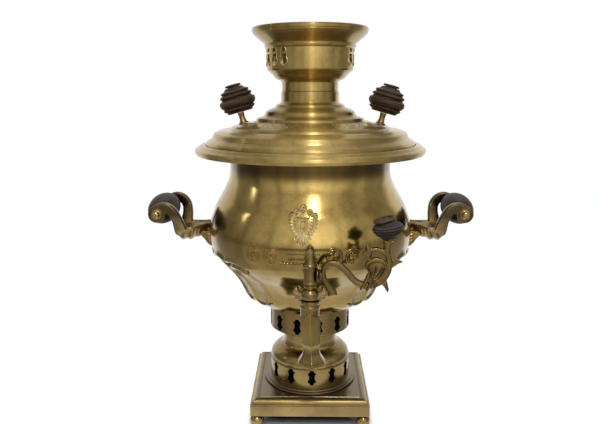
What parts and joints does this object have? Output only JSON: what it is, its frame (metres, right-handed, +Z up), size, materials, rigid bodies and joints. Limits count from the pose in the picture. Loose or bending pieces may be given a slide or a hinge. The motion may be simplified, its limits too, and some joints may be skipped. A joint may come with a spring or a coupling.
{
  "type": "charcoal samovar",
  "caption": "Charcoal-fired hot water urn of brass: footed pedestal, round bellied body, lift-off lid, pierced teapot stand, roller handles and a front tap with a scroll key.",
  "frame": {"origin": "on the floor, under the middle of the whole outline seen from above", "axes": "+Z up, -Y to the front where the tap is, +X to the right seen from the front; the body's turned axis stands 7 mm behind the origin"},
  "size_m": [0.376, 0.2754, 0.448],
  "materials": {
    "brass": "aged polish",
    "dark_brass": "dark patina",
    "wood": "worn dark stain",
    "grey_wood": "worn grey paint",
    "iron": "sooty",
    "leather": "oiled"
  },
  "bodies": {
    "vessel": {"foot_front_left": "dark_brass", "foot_front_right": "dark_brass", "foot_back_left": "dark_brass", "foot_back_right": "dark_brass", "plinth": "dark_brass", "base_flange": "brass", "pedestal": "brass", "air_collar": "brass", "body_shell": "brass", "fire_tube": "dark_brass", "grate": "iron", "rim_ring": "brass", "left_bracket": "dark_brass", "left_rod": "iron", "left_front_acorn_nut": "brass", "left_back_acorn_nut": "brass", "left_handle_nut": "dark_brass", "right_bracket": "dark_brass", "right_rod": "iron", "right_front_acorn_nut": "brass", "right_back_acorn_nut": "brass", "right_handle_nut": "dark_brass", "tap_body": "dark_brass", "escutcheon": "brass", "tap_packing": "leather", "tap_nut": "dark_brass"},
    "lid": {"lid": "brass", "lid_left_stem": "dark_brass", "lid_left_knob": "wood", "lid_left_knob_cap": "wood", "lid_left_nut": "dark_brass", "lid_right_stem": "dark_brass", "lid_right_knob": "wood", "lid_right_knob_cap": "wood", "lid_right_nut": "dark_brass"},
    "crown": {"crown": "brass"},
    "key": {"tap_key": "dark_brass", "branch_ferrule": "dark_brass", "branch": "dark_brass", "key_knob": "grey_wood", "key_knob_cap": "dark_brass"},
    "left_grip": {"left_roller": "wood"},
    "right_grip": {"right_roller": "wood"}
  },
  "joints": [
    {"name": "lid_lift", "type": "slide", "parent": "vessel", "child": "lid", "axis": [0, 0, 1], "range_m": [0, 0.12]},
    {"name": "crown_lift", "type": "slide", "parent": "lid", "child": "crown", "axis": [0, 0, 1], "range_m": [0, 0.09]},
    {"name": "key_turn", "type": "hinge", "parent": "vessel", "child": "key", "pos_m": [0, -0.12195, 0.17], "axis": [0, 0, 1], "range_deg": [-180, 0]},
    {"name": "left_grip_spin", "type": "hinge", "parent": "vessel", "child": "left_grip", "pos_m": [-0.1714, 0.00655, 0.245], "axis": [0, 1, 0], "continuous": true},
    {"name": "right_grip_spin", "type": "hinge", "parent": "vessel", "child": "right_grip", "pos_m": [0.1714, 0.00655, 0.245], "axis": [0, 1, 0], "continuous": true}
  ]
}
